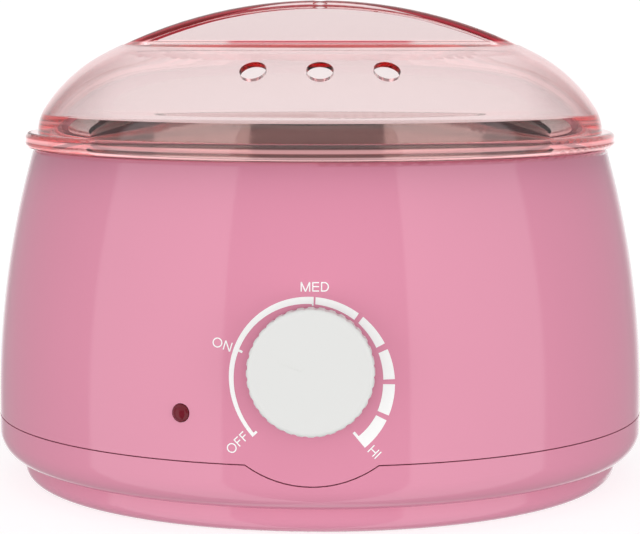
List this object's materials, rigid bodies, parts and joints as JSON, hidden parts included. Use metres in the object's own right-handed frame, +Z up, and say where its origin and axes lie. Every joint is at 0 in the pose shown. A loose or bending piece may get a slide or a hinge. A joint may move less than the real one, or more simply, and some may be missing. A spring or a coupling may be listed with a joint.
{
  "type": "wax warmer",
  "caption": "Round table-top wax warmer: bulged two-part housing, lift-out metal pot, clear domed lid with a fin handle, and a fluted dial with a lamp in front.",
  "frame": {"origin": "on the table, under the axis of the round body", "axes": "+Z up along the body's axis, -Y out of the front with the dial, +Y out of the cord inlet"},
  "size_m": [0.18, 0.1934, 0.1322],
  "materials": {
    "housing_pink": "glossy moulded plastic",
    "lid_clear": "clear tinted, polished",
    "pot_metal": "spun sheet, satin",
    "knob_white": "fine satin moulded plastic",
    "lens_red": "clear deep red, polished",
    "pad_rubber": "matte",
    "steel": "zinc plated",
    "heater_alloy": "as cast",
    "element_steel": "heat darkened",
    "phenolic": "matte moulded",
    "insulator_white": "matte moulded",
    "wire_brown": "silicone sleeve",
    "wire_blue": "silicone sleeve",
    "neon_glass": "clear"
  },
  "bodies": {
    "root": {"upper_housing": "housing_pink", "base_housing": "housing_pink", "rubber_pads": "pad_rubber", "base_screws": "steel", "heater_well": "pot_metal", "well_seal_ring": "pad_rubber", "heating_plate": "heater_alloy", "heating_element": "element_steel", "heat_shield": "heater_alloy", "clamp_strap": "steel", "strap_screws": "steel", "strap_nut": "steel", "thermal_fuse": "insulator_white", "fuse_clip": "steel", "fuse_clip_screws": "steel", "thermostat_body": "phenolic", "thermostat_tabs": "steel", "thermostat_bush": "steel", "thermostat_nut": "steel", "indicator_lens": "lens_red", "indicator_lamp": "neon_glass", "lamp_holder": "insulator_white", "terminal_block": "insulator_white", "terminal_screws": "steel", "cord_gland": "pad_rubber", "lead_line": "wire_brown", "lead_switched": "wire_brown", "lead_fuse": "wire_brown", "lead_neutral": "wire_blue", "lamp_leads": "wire_blue"},
    "knob": {"control_knob": "knob_white", "thermostat_spindle": "steel"},
    "pot": {"wax_pot": "pot_metal"},
    "lid": {"lid": "lid_clear"}
  },
  "joints": [
    {"name": "knob_turn", "type": "hinge", "parent": "root", "child": "knob", "pos_m": [0, -0.08905, 0.042], "axis": [0, 0.9963, -0.0863], "range_deg": [-63, 213]},
    {"name": "pot_lift", "type": "slide", "parent": "root", "child": "pot", "axis": [0, 0, 1], "range_m": [0, 0.075]},
    {"name": "lid_lift", "type": "slide", "parent": "pot", "child": "lid", "axis": [0, 0, 1], "range_m": [0, 0.06]}
  ]
}
